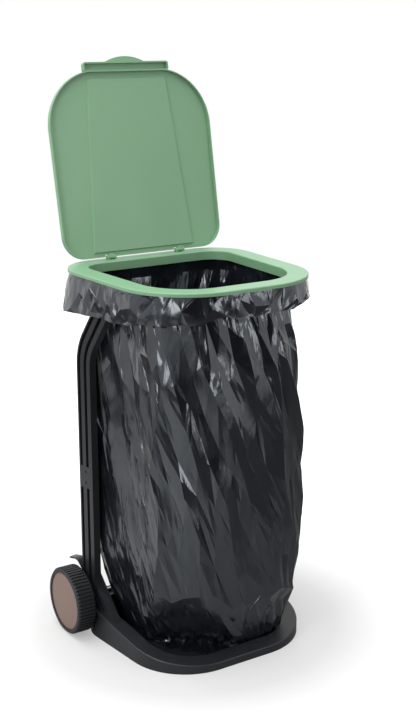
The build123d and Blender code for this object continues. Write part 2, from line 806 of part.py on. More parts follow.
inside = [film_loop(body_levels[0], film, film)] + [film_loop(level, film) for level in body_levels[1:]]
outside = [film_loop(level, 0.0) for level in body_levels[:-1]] + [film_loop(body_levels[-1], 0.0, -film)]
cuff_outside = [film_loop(cuff_levels[0], 0.0), film_loop(cuff_levels[1], 0.0, tilt=cuff_tilt)]
cuff_inside = [film_loop(cuff_levels[0], film, -film), film_loop(cuff_levels[1], film, tilt=cuff_tilt)]
with BuildPart() as bin_bag:
    loft(sections=inside + cuff_outside + cuff_inside[::-1] + outside[::-1], ruled=True)
write(bin_bag, "bin_bag")
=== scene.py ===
"""Bin bag holder: camera, studio, materials and the film bag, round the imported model."""

import json
import math

import bpy
import numpy as np
from mathutils import Matrix, Vector
from mathutils.geometry import delaunay_2d_cdt


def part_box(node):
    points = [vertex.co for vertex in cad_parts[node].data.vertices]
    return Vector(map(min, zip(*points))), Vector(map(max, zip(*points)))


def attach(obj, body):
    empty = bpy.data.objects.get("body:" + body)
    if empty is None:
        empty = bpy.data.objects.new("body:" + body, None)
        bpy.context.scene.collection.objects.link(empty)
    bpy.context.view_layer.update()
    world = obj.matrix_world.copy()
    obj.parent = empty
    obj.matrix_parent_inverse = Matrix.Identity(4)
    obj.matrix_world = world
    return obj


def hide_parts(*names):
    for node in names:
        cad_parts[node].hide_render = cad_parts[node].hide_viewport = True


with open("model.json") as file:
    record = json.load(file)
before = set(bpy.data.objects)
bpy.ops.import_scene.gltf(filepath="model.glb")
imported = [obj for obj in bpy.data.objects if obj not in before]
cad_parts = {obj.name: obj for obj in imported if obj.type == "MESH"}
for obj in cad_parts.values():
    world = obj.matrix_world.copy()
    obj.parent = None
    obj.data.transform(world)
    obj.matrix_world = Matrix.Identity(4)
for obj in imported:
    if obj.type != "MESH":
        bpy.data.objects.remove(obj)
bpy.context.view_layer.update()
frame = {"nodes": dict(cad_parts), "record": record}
nodes = frame["nodes"]
mm = 0.001


# Materials
def material(name, color, roughness, specular=0.5, coat=0.0, metallic=0.0):
    """A plain shader with one base colour; the values are on the shader's own sockets."""
    mat = bpy.data.materials.new(name)
    mat.use_nodes = True
    shader = mat.node_tree.nodes["Principled BSDF"]
    shader.inputs["Base Color"].default_value = (*color, 1.0)
    shader.inputs["Roughness"].default_value = roughness
    shader.inputs["Specular IOR Level"].default_value = specular
    shader.inputs["Coat Weight"].default_value = coat
    shader.inputs["Coat Roughness"].default_value = 0.15
    shader.inputs["Metallic"].default_value = metallic
    return mat, shader


def object_space(tree, stretch, tilt=(0.0, 0.0, 0.0)):
    """Places on the object, turned by tilt and stretched along the axes."""
    coords = tree.nodes.new("ShaderNodeTexCoord")
    mapping = tree.nodes.new("ShaderNodeMapping")
    mapping.inputs["Rotation"].default_value = tilt
    mapping.inputs["Scale"].default_value = stretch
    tree.links.new(coords.outputs["Object"], mapping.inputs["Vector"])
    return mapping.outputs["Vector"]


def noise(tree, scale, detail=3.0, stretch=(1.0, 1.0, 1.0), distortion=0.0):
    """Soft noise from 0 to 1."""
    texture = tree.nodes.new("ShaderNodeTexNoise")
    texture.inputs["Scale"].default_value = scale
    texture.inputs["Detail"].default_value = detail
    texture.inputs["Distortion"].default_value = distortion
    tree.links.new(object_space(tree, stretch), texture.inputs["Vector"])
    return texture.outputs["Fac"]


def creases(tree, scale, stretch):
    """Flat facets with sharp edges."""
    texture = tree.nodes.new("ShaderNodeTexVoronoi")
    texture.distance = "MANHATTAN"
    texture.inputs["Scale"].default_value = scale
    tree.links.new(object_space(tree, stretch, (0.25, 0.35, 0.2)), texture.inputs["Vector"])
    return texture.outputs["Distance"]


def ramp(tree, source, low, high, start=0.3, end=0.7, kind="LINEAR"):
    """Turns a value that goes from start to end into one that goes from low to high."""
    scale = tree.nodes.new("ShaderNodeMapRange")
    scale.interpolation_type = kind
    scale.inputs["From Min"].default_value = start
    scale.inputs["From Max"].default_value = end
    scale.inputs["To Min"].default_value = low
    scale.inputs["To Max"].default_value = high
    tree.links.new(source, scale.inputs["Value"])
    return scale.outputs["Result"]


def bump(tree, shader, source, height):
    """Small surface relief, height metres deep."""
    node = tree.nodes.new("ShaderNodeBump")
    node.inputs["Strength"].default_value = 1.0
    node.inputs["Distance"].default_value = height
    tree.links.new(source, node.inputs["Height"])
    last = shader.inputs["Normal"].links
    if last:
        tree.links.new(last[0].from_socket, node.inputs["Normal"])
    tree.links.new(node.outputs["Normal"], shader.inputs["Normal"])


def moulded(name, color, roughness, grain, coat=0.0):
    """Moulded plastic: a faint grain and slightly uneven gloss."""
    mat, shader = material(name, color, roughness, 0.5, coat)
    tree = mat.node_tree
    uneven = ramp(tree, noise(tree, 9.0), roughness - 0.04, roughness + 0.05)
    tree.links.new(uneven, shader.inputs["Roughness"])
    bump(tree, shader, noise(tree, 900.0, 2.0), grain)
    return mat


def metal(name, color, roughness, metallic, scale, detail, stretch):
    """Metal with the fine marks of its making."""
    mat, shader = material(name, color, roughness, 0.5, 0.0, metallic)
    bump(mat.node_tree, shader, noise(mat.node_tree, scale, detail, stretch), 0.00002)
    return mat


def glossy_film():
    """Thin black film: large and small creases, and a gloss that varies."""
    mat, shader = material("film", (0.0065, 0.008, 0.0115), 0.2, 1.0, 0.3)
    tree = mat.node_tree
    shader.inputs["Specular Tint"].default_value = (0.84, 0.92, 1.0, 1.0)
    gloss = ramp(tree, noise(tree, 14.0, 4.0), 0.09, 0.22)
    tree.links.new(gloss, shader.inputs["Roughness"])
    bump(tree, shader, creases(tree, 12.0, (1.0, 1.0, 0.22)), 0.0035)
    bump(tree, shader, creases(tree, 36.0, (1.0, 1.0, 0.35)), 0.0009)
    bump(tree, shader, noise(tree, 120.0, 3.0, (1.0, 1.0, 0.5), 0.4), 0.0002)
    return mat


film = glossy_film()
finishes = {
    "black_plastic": moulded("black_plastic", (0.018, 0.019, 0.022), 0.33, 0.00003, 0.04),
    "green_plastic": moulded("green_plastic", (0.215, 0.41, 0.238), 0.38, 0.00002, 0.12),
    "wheel_plastic": moulded("wheel_plastic", (0.014, 0.015, 0.018), 0.5, 0.00004),
    "brown_plastic": moulded("brown_plastic", (0.235, 0.155, 0.125), 0.36, 0.00002),
    "steel": metal("steel", (0.6, 0.6, 0.62), 0.3, 1.0, 300.0, 2.0, (1.0, 20.0, 20.0)),
    "screw_steel": metal("screw_steel", (0.035, 0.035, 0.038), 0.4, 0.6, 600.0, 3.0, (1.0, 1.0, 1.0)),
    "film": film,
}
for part in frame["record"]["subparts"]:
    mesh = nodes[part["node"]].data
    mesh.materials.clear()
    mesh.materials.append(finishes[part["material_slot"]])


# The loop that the bag's film follows: the ring's outline, a trapezoid with round corners
def outline(near_width, far_width, near, far, near_corner, far_corner, count):
    """Points evenly along the outline, with outward normals. 0 is the front middle."""
    corners = np.array([
        (-near_width / 2, near), (near_width / 2, near), (far_width / 2, far), (-far_width / 2, far)])
    radii = (near_corner, near_corner, far_corner, far_corner)
    path = [np.array([0.0, near])]
    for index in (1, 2, 3, 0):
        corner = corners[index]
        back = corners[index - 1] - corner
        ahead = corners[(index + 1) % 4] - corner
        back /= np.linalg.norm(back)
        ahead /= np.linalg.norm(ahead)
        half = math.acos(back @ ahead) / 2
        middle = back + ahead
        centre = corner + middle / np.linalg.norm(middle) * radii[index] / math.sin(half)
        start = corner + back * radii[index] / math.tan(half) - centre
        angle = math.atan2(start[1], start[0])
        for share in np.linspace(0.0, 1.0, 60):
            turn = angle + (math.pi - 2 * half) * share
            path.append(centre + radii[index] * np.array([math.cos(turn), math.sin(turn)]))
    path.append(np.array([0.0, near]))
    path = np.array(path)
    steps = np.concatenate([[0.0], np.cumsum(np.linalg.norm(np.diff(path, axis=0), axis=1))])
    along = np.arange(count) / count * steps[-1]
    places = np.stack([np.interp(along, steps, path[:, axis]) for axis in (0, 1)], -1)
    tangent = np.roll(places, -1, 0) - np.roll(places, 1, 0)
    tangent /= np.linalg.norm(tangent, axis=1)[:, None]
    normals = np.stack([tangent[:, 1], -tangent[:, 0]], -1)
    signed = np.where(along > steps[-1] / 2, along - steps[-1], along)
    return signed, places, normals, steps[-1]


ring_low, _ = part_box("clamp_ring")
front_y = ring_low.y / mm
length = 461.0
front_width, rear_width = 431.0, 476.0
front_corner, rear_corner = 163.0, 99.0
loop_shape = (front_width, rear_width, front_y, front_y + length, front_corner, rear_corner)
columns = 220
around, edge, outward, girth = outline(*loop_shape, columns)
fine_steps = 3600
_, loop_points, loop_normals, _ = outline(*loop_shape, fine_steps)
loop_s = np.arange(fine_steps) / fine_steps * girth


def on_loop(values, s):
    """What a list with one row for each step of the loop holds at the places s."""
    return np.stack([np.interp(s, loop_s, values[:, axis], period=girth) for axis in (0, 1)], -1)


# Relief of the film
def lattice(s, z, cell_s, cell_z, seed):
    """Faceted noise from -1 to 1 that closes round the loop."""
    rng = np.random.default_rng(seed)
    across = max(3, round(girth / cell_s))
    rows = 80
    values = rng.uniform(-1.0, 1.0, (across, rows))
    place_s = (s / girth) % 1.0 * across
    place_z = z / cell_z + 20.0
    low_s = np.floor(place_s).astype(int)
    low_z = np.floor(place_z).astype(int)
    part_s, part_z = place_s - low_s, place_z - low_z
    a = values[low_s % across, low_z % rows]
    b = values[(low_s + 1) % across, low_z % rows]
    c = values[low_s % across, (low_z + 1) % rows]
    d = values[(low_s + 1) % across, (low_z + 1) % rows]
    lower_facet = a + (b - a) * part_s + (c - a) * part_z
    upper_facet = d + (c - d) * (1.0 - part_s) + (b - d) * (1.0 - part_z)
    return np.where(part_s + part_z < 1.0, lower_facet, upper_facet)


def crumple(s, z, cell, seed):
    """Sharp small creases with slanting facets."""
    bent_s = s + 0.5 * cell * lattice(s, z, 2.3 * cell, 2.3 * cell, seed + 1)
    bent_z = z + 0.5 * cell * lattice(s, z, 2.1 * cell, 2.1 * cell, seed + 2)
    sharp = np.abs(lattice(s, z, 1.7 * cell, 2.5 * cell, seed + 3))
    return lattice(bent_s, bent_z, cell, cell, seed) - 0.5 * sharp


def line_distance(s, z, line):
    """Distance to a crease line, and how far along the line the nearest place is, from 0 to 1."""
    runs = np.linalg.norm(np.diff(line, axis=0), axis=1)
    total = runs.sum()
    nearest = np.full(s.shape, 1e9)
    share = np.zeros(s.shape)
    done = 0.0
    for (s0, z0), (s1, z1), run in zip(line[:-1], line[1:], runs):
        t = np.clip(((s - s0) * (s1 - s0) + (z - z0) * (z1 - z0)) / run**2, 0.0, 1.0)
        gap = np.hypot(s - s0 - t * (s1 - s0), z - z0 - t * (z1 - z0))
        closer = gap < nearest
        nearest = np.where(closer, gap, nearest)
        share = np.where(closer, (done + t * run) / total, share)
        done += run
    return nearest, share


def tents(s, z, folds):
    """Height of the tallest fold at each place; a fold is a sharp ridge with flat sides."""
    out = np.full(s.shape, 0.0)
    for height, half_width, line in folds:
        line = np.array(line, float)
        for shift in (0.0, -girth, girth):
            moved = line + (shift, 0.0)
            low, high = moved.min(0) - half_width, moved.max(0) + half_width
            near = (s > low[0]) & (s < high[0]) & (z > low[1]) & (z < high[1])
            if near.any():
                gap, share = line_distance(s[near], z[near], moved)
                fade = np.clip(np.minimum(share, 1.0 - share) / 0.22, 0.0, 1.0) * 0.75 + 0.25
                ridge = height * fade * (1.0 - gap / (half_width * (0.6 + 0.4 * fade)))
                out[near] = np.maximum(out[near], ridge)
    return out


# The main folds on the side that shows: height, half width, and places (round the loop, up)
shown_folds = [
    (11, 34, [(-470, 640), (-449, 550), (-411, 398), (-340, 202), (-311, 122)]),
    (10, 30, [(-425, 800), (-419, 718), (-369, 642), (-324, 450), (-318, 330)]),
    (8, 20, [(-321, 810), (-321, 762), (-322, 554), (-315, 430), (-300, 330)]),
    (10, 28, [(-308, 740), (-285, 600), (-260, 502), (-246, 480)]),
    (9, 26, [(-306, 714), (-258, 712), (-223, 658)]),
    (11, 30, [(-246, 810), (-213, 658), (-236, 510), (-262, 380)]),
    (13, 30, [(-236, 812), (-183, 662), (-141, 518), (-120, 440)]),
    (10, 24, [(-206, 780), (-154, 626), (-143, 610)]),
    (16, 36, [(-152, 812), (-120, 702), (-65, 582), (-18, 438), (20, 340)]),
    (13, 30, [(-138, 790), (-96, 702), (-44, 594), (19, 430), (60, 330)]),
    (8, 22, [(-60, 810), (-72, 714)]),
    (12, 26, [(-22, 812), (6, 702), (28, 582), (20, 560)]),
    (12, 30, [(10, 790), (64, 718), (84, 630), (96, 414), (104, 300)]),
    (14, 34, [(98, 760), (110, 686), (199, 502), (215, 380)]),
    (12, 22, [(54, 800), (99, 730), (175, 690), (220, 700)]),
    (10, 20, [(130, 812), (150, 760), (190, 700)]),
    (12, 30, [(-300, 410), (-293, 294), (-262, 240)]),
    (9, 26, [(-300, 300), (-230, 278), (-205, 300)]),
    (12, 28, [(-322, 300), (-314, 202), (-306, 78)]),
    (12, 34, [(-222, 434), (-225, 282), (-271, 134), (-318, 62)]),
    (11, 30, [(-175, 498), (-161, 418), (-134, 376)]),
    (10, 24, [(-126, 366), (-126, 222)]),
    (16, 40, [(-101, 486), (-63, 390), (-40, 254), (-14, 150), (15, 82)]),
    (13, 32, [(-43, 458), (-1, 386), (53, 314), (70, 260)]),
    (9, 24, [(-8, 482), (42, 390)]),
    (14, 32, [(46, 454), (48, 346), (66, 238), (50, 162), (11, 110)]),
    (13, 34, [(108, 334), (150, 280), (209, 226)]),
    (14, 36, [(215, 420), (214, 300), (205, 200), (206, 126)]),
    (16, 40, [(-296, 70), (-239, 134), (-174, 170), (-126, 178)]),
    (12, 30, [(-174, 170), (-152, 122), (-92, 70)]),
    (12, 30, [(-121, 202), (-62, 162), (-5, 106), (34, 38)]),
    (15, 34, [(31, 134), (110, 150), (167, 130), (206, 122)]),
]
shown_from, shown_to = -340.0, 250.0
chance = np.random.default_rng(11)


def foot_gathers():
    """Folds that fan out from the bag's foot."""
    folds = []
    for start in np.arange(shown_from, shown_to, 30.0):
        start += chance.uniform(-7, 7)
        folds.append((
            chance.uniform(9, 15), chance.uniform(15, 22),
            [(start, 9), (start + chance.uniform(-16, 16), chance.uniform(80, 150))]))
    return folds


def hanging_folds():
    """The same kind of folds on the sides that the photo hides."""
    folds = []
    for start in np.arange(shown_to, girth - 480.0, 27.0):
        top = chance.uniform(560, 812)
        low = chance.uniform(60, 420)
        lean = chance.uniform(-0.05, 0.28) * (top - low)
        middle = (start + lean * chance.uniform(0.3, 0.7), (top + low) / 2)
        folds.append((
            chance.uniform(8, 13), chance.uniform(24, 38), [(start, top), middle, (start + lean, low)]))
    return folds


body_folds = shown_folds + foot_gathers()
body_folds += hanging_folds()

# Heights on the bag, and at each: how far the film hangs inside the loop, how far the front swells,
# how far the back is drawn forward, how deep the folds are, and how far it reaches to the front left
frame_low, frame_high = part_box("bag_frame")
frame_bottom, frame_top = frame_low.z / mm, frame_high.z / mm
neck_z = frame_bottom - 6.0
film_z = frame_top + 0.9
neck_inset = 41.2
levels = np.array([7.4, 60, 124, 216, 336, 508, 664, 760, neck_z, film_z])
side_insets = np.array([70, 56, 40, 33, 29, 28, 28, 36.5, 41.6, neck_inset])
bulges = np.array([4, 4, 15, 18, 25, 22, 15, 9, 0, 0])
pulls = np.array([78, 75, 60, 42, 26, 12, 6, 2, 0, 0.0])
full_depth = 12.0
depths = np.array([8, 12, 12, 12, 12, 12, 11, 7, 0.6, 0])
cuts = np.array([132, 176, 212, 262, 460, 460, 460, 460, 460, 460.0])
cut_way = np.array([math.cos(math.radians(227.0)), math.sin(math.radians(227.0))])

# The tray's well and sloping rim, as in the part's source
well_inset = 38.0
base_front = front_y + 17.0
base_front_width, base_rear_width = 400.0, 474.0
base_length = 368.0
_, well_edge, _, _ = outline(
    base_front_width - 2 * well_inset, base_rear_width - 2 * well_inset,
    base_front + well_inset, base_front + base_length - well_inset,
    145.0 - well_inset, 75.0 - well_inset, 720)
middle_point = np.array([10.0, -60.0])


def by_angle(edge_points, angles):
    """Distance from the middle to a closed outline in each direction."""
    way = edge_points - middle_point
    theta = np.arctan2(way[:, 1], way[:, 0])
    order = np.argsort(theta)
    theta, reach = theta[order], np.linalg.norm(way, axis=1)[order]
    return np.interp(angles, theta, reach, period=2 * math.pi)


def rim_height(y):
    """Height of the tray's sloping rim."""
    return 18.0 + math.tan(math.radians(9.24)) * (y - base_front)


def clear(place):
    """Keeps the film inside the well of the tray and off the posts."""
    x, y, z = place[..., 0], place[..., 1], place[..., 2]
    way_x, way_y = x - middle_point[0], y - middle_point[1]
    angle = np.arctan2(way_y, way_x)
    reach = np.hypot(way_x, way_y)
    well = by_angle(well_edge, angle) - 2.5
    over_rim = np.maximum(z - rim_height(y) - 4.0, 0.0)
    reach = np.minimum(reach, well + over_rim * 1.3)
    x = middle_point[0] + reach * np.cos(angle)
    y = middle_point[1] + reach * np.sin(angle)
    # The posts' inner faces are turned by 10 degrees; low down they are the tray's cheeks
    turn = math.radians(10.0)
    inside = (y - front_y - 340.0) * math.sin(turn) - (np.abs(x) - 227.0) * math.cos(turn)
    low = z < 175.0
    lean = np.clip((z - 640.0) / 180.0, 0.0, 1.0)
    post_front = np.where(low, -45.0, 45.0 - 95.0 * lean)
    post_back = 128.0
    beyond = np.maximum(np.maximum(post_front - y, y - post_back), 0.0)
    need = np.where(low, 24.5, 20.5) - beyond * 0.8
    x = x - np.sign(x) * np.maximum(need - inside, 0.0) * math.cos(turn) * (z < neck_z)
    return np.stack([x, y, z], -1)


def body_point(s, z, rise):
    """Place of the film at (s, z) in millimetres, where it stands rise above its lowest folds."""
    plan, normal = on_loop(loop_points, s), on_loop(loop_normals, s)
    frontness = np.clip((-normal[..., 1] - 0.05) / 0.4, 0.0, 1.0)
    inset = np.interp(z, levels, side_insets) - np.interp(z, levels, bulges) * frontness
    depth = np.interp(z, levels, depths)
    hang = np.clip((neck_z - z) / 32.0, 0.0, 1.0)
    place = plan - normal * (inset + depth - rise * depth / full_depth * hang)[..., None]
    x, y = place[..., 0], place[..., 1]
    y = y - np.interp(z, levels, pulls) * (y - front_y) / length
    past = np.maximum(x * cut_way[0] + y * cut_way[1] - np.interp(z, levels, cuts), 0.0) * 0.93
    return clear(np.stack([x - cut_way[0] * past, y - cut_way[1] * past, z], -1))


# Where the film is crumpled small: how much, place and size (round the loop, up)
crumpled = [
    (1.0, 130.0, 745.0, 110.0, 65.0), (1.0, 140.0, 95.0, 90.0, 50.0), (0.8, -260.0, 300.0, 50.0, 50.0),
    (0.8, -330.0, 110.0, 60.0, 70.0), (0.8, -110.0, 120.0, 60.0, 50.0), (0.6, -130.0, 400.0, 30.0, 40.0)]


def lively(s, z):
    """How small the film is crumpled, from 0 to 1."""
    small = 0.0
    for much, at_s, at_z, wide_s, wide_z in crumpled:
        small = small + much * np.exp(-((s - at_s) / wide_s) ** 2 - ((z - at_z) / wide_z) ** 2)
    return np.clip(small + 0.35 * np.clip((150.0 - z) / 60.0, 0.0, 1.0), 0.0, 1.0)


def inner_side(s, z):
    """1 at the top of the back and the right, whose inside shows through the ring."""
    far_side = np.clip((on_loop(loop_normals, s)[..., 1] + 0.35) / 0.5, 0.0, 1.0)
    return far_side * np.clip((z - 660.0) / 60.0, 0.0, 1.0)


# Facets: these functions add to one list of vertices, in millimetres
def spread(tries, low, high, spacing, squash, slant, placed):
    """Random places that keep their distance from each other and from the placed ones."""
    kept = np.zeros((len(placed) + tries, 2))
    kept[:len(placed)] = placed
    count = len(placed)
    for spot in chance.uniform(low, high, (tries, 2)):
        aside, above = (kept[:count] - spot).T
        gap = np.hypot(aside + above * slant, above * squash)
        if gap.min() > spacing(*spot):
            kept[count] = spot
            count += 1
    return kept[len(placed):count]


def facets(near_row, far_row, spots, lines, squash, slant, place):
    """Flat facets between two rows of the loop, over scattered places and along crease lines.

    A row is (values of s, vertex numbers, height on the flattened film). New vertices come from place."""
    coords, numbers = [], []
    for row_s, row_ids, height in (near_row, far_row):
        coords += [(s, height) for s in row_s]
        numbers += list(row_ids)
        coords.append((-girth / 2, height))
        numbers.append(row_ids[int(np.argmax(row_s))])
    seam = np.linspace(near_row[2], far_row[2], 2 + int(abs(far_row[2] - near_row[2]) / 40.0))[1:-1]
    for height in seam:
        coords += [(-girth / 2, height), (girth / 2, height)]
        numbers += [len(points), len(points)]
        points.append(place(np.array([girth / 2]), np.array([height]))[0])
    edges = []
    for line in lines:
        start = len(coords)
        coords += [tuple(spot) for spot in line]
        numbers += [None] * len(line)
        edges += [(index, index + 1) for index in range(start, len(coords) - 1)]
    coords += [tuple(spot) for spot in spots]
    numbers += [None] * len(spots)
    flat = [Vector((s + height * slant, height * squash)) for s, height in coords]
    out, _, triangles, origins, _, _ = delaunay_2d_cdt(flat, edges, [], 0, 0.01)
    made, ids = [], []
    for vertex, origin in zip(out, origins):
        known = [numbers[index] for index in origin if numbers[index] is not None]
        if known:
            ids.append(known[0])
        else:
            ids.append(len(points) + len(made))
            made.append((vertex.x - vertex.y / squash * slant, vertex.y / squash))
    made = np.array(made)
    points.extend(place(made[:, 0], made[:, 1]))
    sides = []
    for triangle in triangles:
        a, b, c = (out[index] for index in triangle)
        turn = (b.x - a.x) * (c.y - a.y) - (b.y - a.y) * (c.x - a.x)
        corner = [ids[index] for index in triangle]
        if abs(turn) > 1e-6 and len(set(corner)) == 3:
            sides.append(tuple(corner) if turn > 0 else tuple(corner[::-1]))
    return sides


def row_edges(rows):
    """The edges along rows of vertices, as pairs of vertex numbers."""
    return {tuple(sorted(pair)) for ids in rows for pair in zip(ids, np.roll(ids, -1))}


def split(sides, whole, share):
    """Halves every edge but the whole ones, moving the new corners a little."""
    halves = {}

    def half(a, b):
        key = (min(a, b), max(a, b))
        if key in whole:
            return None
        if key not in halves:
            middle = (points[a] + points[b]) / 2
            way = middle[:2] - middle_point
            move = np.linalg.norm(points[a] - points[b]) * share * chance.uniform(-1, 1)
            middle[:2] += way / np.linalg.norm(way) * move
            halves[key] = len(points)
            points.append(middle)
        return halves[key]

    out = []
    for a, b, c in sides:
        ab, bc, ca = half(a, b), half(b, c), half(c, a)
        if None not in (ab, bc, ca):
            out += [(a, ab, ca), (ab, b, bc), (ca, bc, c), (ab, bc, ca)]
            continue
        while ab is not None or bc is None and ca is not None:
            a, b, c, ab, bc, ca = b, c, a, bc, ca, ab
        if bc is not None and ca is not None:
            out += [(a, b, ca), (b, bc, ca), (ca, bc, c)]
        elif bc is not None:
            out += [(a, b, bc), (a, bc, c)]
        else:
            out.append((a, b, c))
    return out


def level_row(z):
    """One height for each place of the loop."""
    return np.full(columns, z)


# Foot: the film runs out over the well's floor at the front left, back under itself, and closes
film_low = 14.0
body_low = body_point(around, level_row(film_low), tents(around, level_row(film_low), body_folds))


def tail_length(reach, angle):
    """How far the film runs out over the floor in each direction, with a ragged edge."""
    turned = np.abs((angle - math.radians(236.0) + math.pi) % (2 * math.pi) - math.pi)
    spare = np.maximum(by_angle(well_edge, angle) - 4.0 - reach, 0.0)
    ragged = 0.75 + 0.35 * crumple(around, level_row(30.0), 26.0, 71)
    return np.minimum(spare, 62.0 * np.clip(1.25 - turned / 0.75, 0.0, 1.0) * ragged)


def foot_rows():
    """Rows of the film from its lowest one out over the floor."""
    way = body_low[:, :2] - middle_point
    reach = np.hypot(way[:, 0], way[:, 1])
    angle = np.arctan2(way[:, 1], way[:, 0])
    tail = tail_length(reach, angle)
    rows = []
    for share in (0.25, 0.5, 0.75, 0.92, 1.0):
        row = body_low.copy()
        row[:, 0] = middle_point[0] + (reach + tail * share) * np.cos(angle)
        row[:, 1] = middle_point[1] + (reach + tail * share) * np.sin(angle)
        lift = np.abs(crumple(around, level_row(share * 70.0), 17.0, 73)) * 7.0
        row[:, 2] = 9.8 + lift * np.clip(tail / 20.0, 0.0, 1.0) * (1.1 - share)
        rows.append(row)
    return rows


def floor_rows(outer, count):
    """Rows that close the bag under itself, from the middle out."""
    rows = []
    for share in np.arange(1, count + 1) / count:
        row = outer.copy()
        row[:, :2] = middle_point + (row[:, :2] - middle_point) * share**0.9
        row[:, 2] = 8.2 + 0.3 * share
        rows.append(row)
    return rows


foot = foot_rows()
bottom = floor_rows(foot[-1], 7) + foot[::-1] + [body_low]

# Neck: up inside the frame and out over its top, to where the cuff starts, inside the loop
cuff_inset = 4.6
top_width = 36.6
top_steps = 5
neck = [
    body_point(around, level_row(z), level_row(0.0))
    for z in (neck_z, frame_bottom + 8.0, frame_bottom + 20.0, film_z - 2.5, film_z)]
for step in range(top_steps):
    inset = neck_inset - top_width * (step + 1) / top_steps
    neck.append(np.c_[edge + outward * -inset, level_row(film_z + 0.1)])

points = [point for row in bottom + neck for point in row]
low_ids = np.arange(columns) + (len(bottom) - 1) * columns
neck_ids = low_ids + columns
cuff_ids = neck_ids + (len(neck) - 1) * columns
faces = []
for first, rows in ((0, len(bottom)), (len(bottom) * columns, len(neck))):
    for row in range(rows - 1):
        low, high = first + row * columns, first + (row + 1) * columns
        for column in range(columns):
            after = (column + 1) % columns
            faces.append((low + column, low + after, high + after, high + column))
centre_id = len(points)
points.append(np.array([middle_point[0], middle_point[1], 8.6]))
faces += [(centre_id, (column + 1) % columns, column) for column in range(columns)]


# Body: creases at the fold lines, flat film between them
def crease_lines(folds):
    """The folds' lines in short pieces, clear of the seam and of the body's two ends."""
    lines = []
    for _, _, line in folds:
        line = np.array(line, float)
        if line[:, 0].mean() > girth / 2:
            line = line - (girth, 0.0)
        pieces = []
        for start, end in zip(line[:-1], line[1:]):
            count = max(1, math.ceil(np.linalg.norm(end - start) / 55.0))
            pieces += [start + (end - start) * piece / count for piece in range(count)]
        pieces.append(line[-1])
        pieces = [
            spot for spot in pieces if abs(spot[0]) < girth / 2 - 8.0 and 24.0 < spot[1] < neck_z - 6.0]
        if len(pieces) > 1:
            lines.append(pieces)
    return lines


def body_spacing(s, z):
    """Least distance between the corners of facets."""
    return 25.0 - 14.0 * max(lively(s, z), 0.7 * inner_side(s, z))


def body_place(s, z):
    """Place of new film vertices: on the ridges, or in the valleys with a little slack."""
    slack = chance.uniform(-1.0, 1.0, len(s)) * (1.5 + 3.8 * lively(s, z))
    inner = inner_side(s, z) * np.clip((neck_z - z) / 25.0, 0.0, 1.0)
    rise = tents(s, z, body_folds) * (1.0 - 0.5 * inner) + slack
    return body_point(s, z, rise - inner * chance.uniform(0.0, 26.0, len(s)))


lines = crease_lines(body_folds)
squash, slant = 0.32, 0.27
edge_gap = 8.0
spots = spread(
    9000, (-girth / 2 + edge_gap, film_low + edge_gap), (girth / 2 - edge_gap, neck_z - edge_gap),
    body_spacing, squash, slant, [spot for line in lines for spot in line])
sides = facets(
    (around, low_ids, film_low), (around, neck_ids, neck_z), spots, lines, squash, slant, body_place)
whole = row_edges((low_ids, neck_ids))
first_new = len(points)
for share in (0.022, 0.02):
    sides = split(sides, whole, share)
points[first_new:] = list(clear(np.array(points[first_new:])))
faces += sides

# Cuff: from the frame's top down outside it to an uneven hem. How low the hem hangs, and how far
# it stands out, at places round the loop
hem_s = [
    -805, -700, -600, -559, -461, -402, -349, -273, -241, -161, -118, -107, -80, 2, 32, 105, 118, 155,
    300, 500, 650, 805]
hem_z = [
    778, 772, 764, 766, 774, 777, 775, 784, 789, 794, 791, 800, 807, 799, 802, 800, 796, 812,
    806, 796, 784, 778]
flare_s = [-805, -640, -520, -430, -330, -160, -60, 60, 140, 260, 420, 640, 805]
flare_mm = [9, 14, 20, 11, 5, 1, 1, 3, 6, 9, 9, 9, 9]
cuff_length = 60.0
split_s = -163.0
hem_spots = np.sort(np.concatenate([
    -girth / 2 + np.cumsum(chance.uniform(16.0, 40.0, 90)), [split_s, girth / 2]]))
hem_spots = hem_spots[hem_spots <= girth / 2]


def cuff_point(s, along, stand):
    """Place on the cuff, along from 0 at the frame's edge to cuff_length at the hem."""
    share = np.clip(along / cuff_length, 0.0, 1.0)
    flare = np.interp(s, flare_s, flare_mm) * share**0.75
    out = np.maximum(-cuff_inset + flare + stand * np.clip(share / 0.25, 0.0, 1.0), -5.4)
    z = film_z - (film_z - np.interp(s, hem_s, hem_z)) * share
    plan = on_loop(loop_points, s) + on_loop(loop_normals, s) * out[..., None]
    return np.concatenate([plan, z[..., None]], -1)


hem = cuff_point(hem_spots, np.full(len(hem_spots), cuff_length), chance.uniform(-0.5, 2.5, len(hem_spots)))
hem[:, 2] += chance.uniform(-1.5, 1.5, len(hem_spots))
hem_ids = np.arange(len(hem_spots)) + len(points)
points.extend(hem)
cuff_lines = [
    [(-458, 14), (-446, 32), (-430, 52)], [(-440, 10), (-405, 26), (-398, 50)],
    [(-350, 8), (-348, 30), (-354, 50)], [(-300, 10), (-282, 28), (-262, 46)],
    [(-163, 4), (-162.5, 30), (split_s, 55)], [(-88, 10), (-100, 30), (-112, 48)],
    [(10, 10), (2, 34), (-4, 52)], [(106, 10), (116, 30), (126, 46)], [(180, 12), (170, 40)]]


def cuff_spacing(s, along):
    """Least distance between the corners of the cuff's facets."""
    places = [-805, -520, -470, -330, -290, -200, 90, 110, 190, 805]
    return np.interp(s, places, [22, 24, 12, 14, 26, 34, 40, 20, 20, 24])


def cuff_place(s, along):
    """Place of new cuff vertices, with the crease lines standing out."""
    ridge = tents(s, along, [(5.0, 9.0, line) for line in cuff_lines])
    wild = np.interp(s, [-520, -460, -330, -280], [2.0, 4.5, 4.5, 2.2])
    return cuff_point(s, along, ridge + chance.uniform(-0.5, 1.0, len(s)) * wild)


